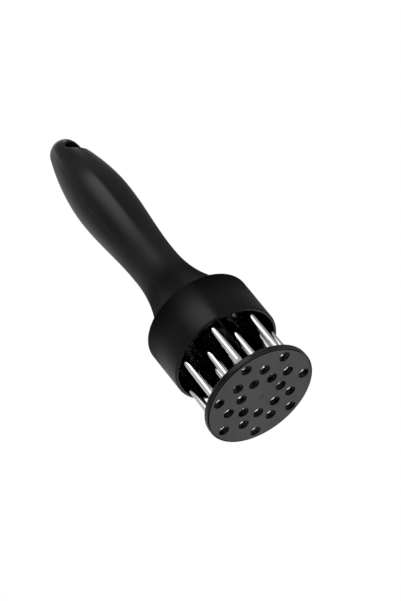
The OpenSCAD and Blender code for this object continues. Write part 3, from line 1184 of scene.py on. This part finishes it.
@dataclass
class Screws:
    """The four screws that clamp carrier and roof to the handle's foot. Millimetres."""

    seat_z: float = 46.9
    turn: float = 0.35
    one: Screw = field(default_factory=lambda: Screw(length=9.6))

    def build(self) -> None:
        """Places and dresses the housing screws, each one driven home at its own turn."""
        mesh = self.one.mesh()
        mesh.transform(Matrix.Translation((0, 0, self.seat_z * MM)))
        places = [(1, RINGS.screw_r, RINGS.step * i, self.turn * i) for i in RINGS.screw_spots]
        screws = RING_PATTERN.run("screws", mesh, SCREW_STEEL, places)
        dress(screws, SCREW_STEEL, "handle_assembly", ["housing_screws"], "screws")


# ---------------------------------------------------------------- sliding guard


@dataclass
class Guard:
    """The disc that slides up the needles, its stem, seat and screw. Millimetres."""

    rim_r: float = 25.75
    face_r: float = 24.95
    face_h: float = 0.3
    thickness: float = 3.0
    rim_low_round: float = 0.2
    rim_high_round: float = 0.8
    face_round: float = 0.08
    groove_w: float = 0.42
    groove_z: float = 1.0
    groove_round: float = 0.05
    stem_r: float = 4.0
    stem_fillet: float = 2.5
    stem_top_z: float = 52.0
    pilot_r: float = 1.5
    pilot_depth: float = 11.0
    pilot_cone: float = 0.6
    hole_r: float = 2.45
    hole_round: float = 0.12
    gate_r: float = 0.9
    gate_depth: float = 0.12
    gate_round: float = 0.06
    seat_r: float = 6.2
    seat_z: float = 52.0
    seat_t: float = 1.6
    boss_r: float = 4.2
    boss_h: float = 2.4
    seat_bore_r: float = 1.55
    screw_length: float = 14.0
    sides: int = 192
    hole_sides: int = 48

    def disc(self) -> None:
        """Builds and dresses the disc with its stem."""
        draft = Draft()
        groove_r = self.face_r + self.groove_w
        face = rounded([
            (self.face_r - 1, 0, 0),
            (self.face_r, 0, self.face_round),
            (self.face_r, self.groove_z, self.groove_round),
            (groove_r, self.groove_z, self.groove_round),
            (groove_r, self.face_h, 0.04),
            (self.rim_r, self.face_h, self.rim_low_round),
            (self.rim_r, self.thickness, self.rim_high_round),
            (self.rim_r - 2, self.thickness, 0),
        ], 6)[1:-1]
        draft.revolve(face, self.sides)
        pilot_z = self.stem_top_z - self.pilot_depth
        stem = rounded([
            (self.stem_r + self.stem_fillet + 1, self.thickness, 0),
            (self.stem_r, self.thickness, self.stem_fillet),
            (self.stem_r, self.stem_top_z, 0.4),
            (self.pilot_r, self.stem_top_z, 0.2),
            (self.pilot_r, pilot_z, 0),
            (0, pilot_z - self.pilot_cone, 0),
        ], 8)[1:]
        draft.revolve(stem, AXIS_SIDES)
        gate = rounded([
            (self.gate_r + 0.5, 0, 0), (self.gate_r, 0, self.gate_round),
            (self.gate_r - 0.1, self.gate_depth, self.gate_round), (0, self.gate_depth, 0),
        ], 3)[1:]
        draft.revolve(gate, self.hole_sides)
        wall = rounded([
            (self.hole_r + 1, 0, 0), (self.hole_r, 0, self.hole_round),
            (self.hole_r, self.thickness, self.hole_round), (self.hole_r + 1, self.thickness, 0),
        ], 4)[1:-1]
        low, high = draft.bore(wall, self.hole_sides, RINGS.needle_places())
        low = [circle(gate[0][0], 0, self.hole_sides)] + low
        high = [circle(stem[0][0], self.thickness, AXIS_SIDES)] + high
        draft.flat(circle(face[0][0], 0, self.sides), low)
        draft.flat(circle(face[-1][0], self.thickness, self.sides), high)
        dress(draft.mesh("guard"), GUARD_BLACK, "guard", ["guard_disc"], "guard")

    def seat(self) -> None:
        """Builds and dresses the spring's seat."""
        draft = Draft()
        top = self.seat_z + self.seat_t
        line = rounded([
            (self.seat_bore_r, self.seat_z, 0), (self.seat_r, self.seat_z, 0.25), (self.seat_r, top, 0.25),
            (self.boss_r, top, 0.2), (self.boss_r, top + self.boss_h, 0.4), (self.seat_bore_r, top + self.boss_h, 0),
            (self.seat_bore_r, self.seat_z, 0),
        ], 4)
        draft.revolve(line, AXIS_SIDES)
        dress(draft.mesh("seat"), INNER_PLASTIC, "guard", ["spring_seat"], "seat")

    def screw(self) -> None:
        """Builds and dresses the stem's screw."""
        mesh = Screw(length=self.screw_length).mesh()
        head_z = self.seat_z + self.seat_t + self.boss_h
        mesh.transform(Matrix.Translation((0, 0, head_z * MM)) @ Matrix.Rotation(HALF, 4, "X"))
        dress(mesh, SCREW_STEEL, "guard", ["stem_screw"], "guard_screw")

    def build(self) -> None:
        """Builds all pieces of the guard."""
        self.disc()
        self.seat()
        self.screw()


@dataclass
class Spring:
    """Return spring with closed end coils, swept along its wire's path. Millimetres."""

    low_z: float = 53.6
    high_z: float = 97.0
    outer_r: float = 5.8
    wire_r: float = 0.5
    curls: float = 15.0
    closed_curls: float = 1.0
    travel: float = 24.2
    points_per_curl: int = 40
    wire_sides: int = 12

    def tree(self) -> GeometryTree:
        """The tree that bends a line into the coil and sweeps the wire along it.

        Returns:
            The tree.
        """
        sizes = ("Coil radius", "Wire radius", "Curls", "Closed curls", "Bottom", "Top")
        made = GeometryTree("coil", {**dict.fromkeys(sizes, "Float"), "Points": "Int"})
        graph = made.graph
        radius, wire_r, curls, closed, bottom, top = map(made.given, sizes)
        points = made.given("Points")
        curl = graph.value("GeometryNodeInputIndex") / (points - 1) * curls
        angle = curl * TURN
        wire = wire_r * 2
        low_rise = curl.math("MINIMUM", closed) * wire
        high_rise = (closed - (curls - curl).math("MINIMUM", closed)) * wire
        open_share = ((curl - closed) / (curls - closed * 2)).math("MAXIMUM", 0.0).math("MINIMUM", 1.0)
        open_length = top - bottom - wire - closed * wire * 2
        height = bottom + wire / 2 + low_rise + open_share * open_length + high_rise
        place = {"X": angle.math("COSINE") * radius, "Y": angle.math("SINE") * radius, "Z": height}
        line = {
            "Geometry": graph.value("GeometryNodeMeshLine", {}, {"Count": points}),
            "Position": graph.value("ShaderNodeCombineXYZ", {}, place),
        }
        bent = graph.value("GeometryNodeSetPosition", {}, line)
        ring = {"Resolution": self.wire_sides, "Radius": wire_r}
        sweep = {
            "Curve": graph.value("GeometryNodeMeshToCurve", {}, {"Mesh": bent}),
            "Profile Curve": graph.value("GeometryNodeCurvePrimitiveCircle", {}, ring),
            "Fill Caps": True,
        }
        made.close(graph.value("GeometryNodeCurveToMesh", {}, sweep))
        return made

    def build(self) -> None:
        """Builds and dresses the spring at one fixed length, though the real one shortens as the guard slides up."""
        values = {
            "Coil radius": (self.outer_r - self.wire_r) * MM,
            "Wire radius": self.wire_r * MM,
            "Curls": self.curls,
            "Closed curls": self.closed_curls,
            "Bottom": self.low_z * MM,
            "Top": self.high_z * MM,
            "Points": int(self.curls * self.points_per_curl) + 1,
        }
        mesh = tidy(self.tree().run("spring", SPRING_STEEL, values))
        piece = dress(mesh, SPRING_STEEL, "handle_assembly", ["return_spring"], "spring")
        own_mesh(piece)


# ---------------------------------------------------------------- stage


@dataclass
class Stage:
    """Pale floor, a soft light over it, a soft studio world with one key panel, and the camera.

    The studio is given as radiance by direction. Pairs are the ends of smooth steps: in degrees to the right of the
    front (rise, edge, left_step, right_step), above the horizon (low, high, top_step, ahead_top) or off the camera's
    axis (ahead_step), and as the direction's share along the front's back (lean) or the camera's right (ahead_lean).
    """

    eye: Point3 = (0.27777, -0.43044, -0.34261)
    right: Point3 = (0.4450, 0.7432, -0.4996)
    up: Point3 = (0.7916, -0.0656, 0.6075)
    lens: float = 88.27
    floor_z: float = -1.2
    floor_r: float = 12000.0
    floor_sides: int = 96
    front: float = -57.0
    key_rise: Point2 = (-36.0, 12.0)
    key_edge: Point2 = (22.0, 36.0)
    key_low: Point2 = (18.0, 34.0)
    key_high: Point2 = (46.0, 58.0)
    key: float = 2.0
    left: float = 0.85
    middle: float = 0.44
    right_side: float = 0.27
    left_step: Point2 = (-140.0, -70.0)
    right_step: Point2 = (50.0, 110.0)
    zenith: float = 2.4
    high: float = 0.3
    lean: Point2 = (-0.3, 0.3)
    top_step: Point2 = (60.0, 68.0)
    ahead_left: float = 0.42
    ahead_right: float = 0.15
    ahead_lean: Point2 = (-0.25, 0.25)
    ahead_top: Point2 = (44.0, 56.0)
    ahead_step: Point2 = (24.0, 64.0)
    light_at: Point3 = (-0.84, 1.29, -0.5)
    light_size: float = 0.9
    light_power: float = 9.5

    def camera(self) -> None:
        """Makes the camera."""
        data = bpy.data.cameras.new("camera")
        data.lens = self.lens
        data.clip_start, data.clip_end = 0.01, 50.0
        camera = linked("camera", data)
        right, up = Vector(self.right).normalized(), Vector(self.up)
        up = (up - right * up.dot(right)).normalized()
        turn = Matrix((right, up, right.cross(up))).transposed().to_4x4()
        camera.matrix_world = Matrix.Translation(self.eye) @ turn
        bpy.context.scene.camera = camera

    def surroundings(self) -> None:
        """Makes the world: white to the camera, and a soft studio with a key panel for all other rays."""
        world = bpy.data.worlds.new("studio")
        world.use_nodes = True
        bpy.context.scene.world = world
        graph = Graph(world.node_tree)
        direction = graph.value("ShaderNodeTexCoord", output="Generated")

        def along(axis: Sequence[float]) -> Sock:
            """The direction's share along an axis."""
            return graph.value("ShaderNodeVectorMath", {"operation": "DOT_PRODUCT"}, {0: direction, 1: axis}, "Value")

        def blend(low: float, high: float, share: Sock) -> Sock:
            """Low where the share is 0, high where it is 1."""
            return share * (high - low) + low

        a = math.radians(self.front)
        turn = along((-math.sin(a), math.cos(a), 0)).math("ARCTAN2", along((math.cos(a), math.sin(a), 0))) * DEGREES
        height = along((0, 0, 1)).math("ARCSINE") * DEGREES
        key = turn.step(*self.key_rise) * (1 - turn.step(*self.key_edge))
        key = key * height.step(*self.key_low) * (1 - height.step(*self.key_high)) * self.key
        room = blend(self.left, self.middle, turn.step(*self.left_step))
        room = room + turn.step(*self.right_step) * (self.right_side - self.middle)
        top = blend(self.high, self.zenith, along((-math.cos(a), -math.sin(a), 0)).step(*self.lean))
        room = room + (top - room) * height.step(*self.top_step)
        right, up = Vector(self.right), Vector(self.up)
        ahead = along(up.cross(right).normalized()).math("ARCCOSINE") * DEGREES
        behind = blend(self.ahead_left, self.ahead_right, along(right.normalized()).step(*self.ahead_lean))
        behind = behind + (self.high - behind) * height.step(*self.ahead_top)
        room = behind + (room - behind) * ahead.step(*self.ahead_step)
        camera_ray = graph.value("ShaderNodeLightPath", output="Is Camera Ray")
        strength = (room + key) * (1 - camera_ray) + camera_ray
        shine = graph.value("ShaderNodeBackground", {}, {"Color": (1, 1, 1, 1), "Strength": strength})
        graph.add("ShaderNodeOutputWorld", {}, {"Surface": shine})

    def light(self) -> None:
        """Makes the soft light that hangs over the floor behind the tool."""
        data = bpy.data.lights.new("floor_light", "AREA")
        data.shape, data.size, data.energy = "DISK", self.light_size, self.light_power
        linked("floor_light", data).location = self.light_at

    def floor(self) -> None:
        """Makes the pale floor."""
        draft = Draft()
        draft.flat(circle(self.floor_r, self.floor_z / MM, self.floor_sides))
        mesh = draft.mesh("floor")
        mesh.materials.append(FLOOR_PALE.material())
        linked("floor", mesh)

    def build(self) -> None:
        """Builds the whole stage."""
        self.floor()
        self.light()
        self.surroundings()
        self.camera()
        settings = bpy.context.scene.view_settings
        settings.view_transform, settings.look = "Standard", "None"


def main() -> None:
    """Builds the tool's pieces and the stage."""
    for part in (Handle, Housing, Carrier, Needles, Screws, Guard, Spring, Stage):
        part().build()
    LOG.info("boxes written")


if __name__ == "__main__":
    main()
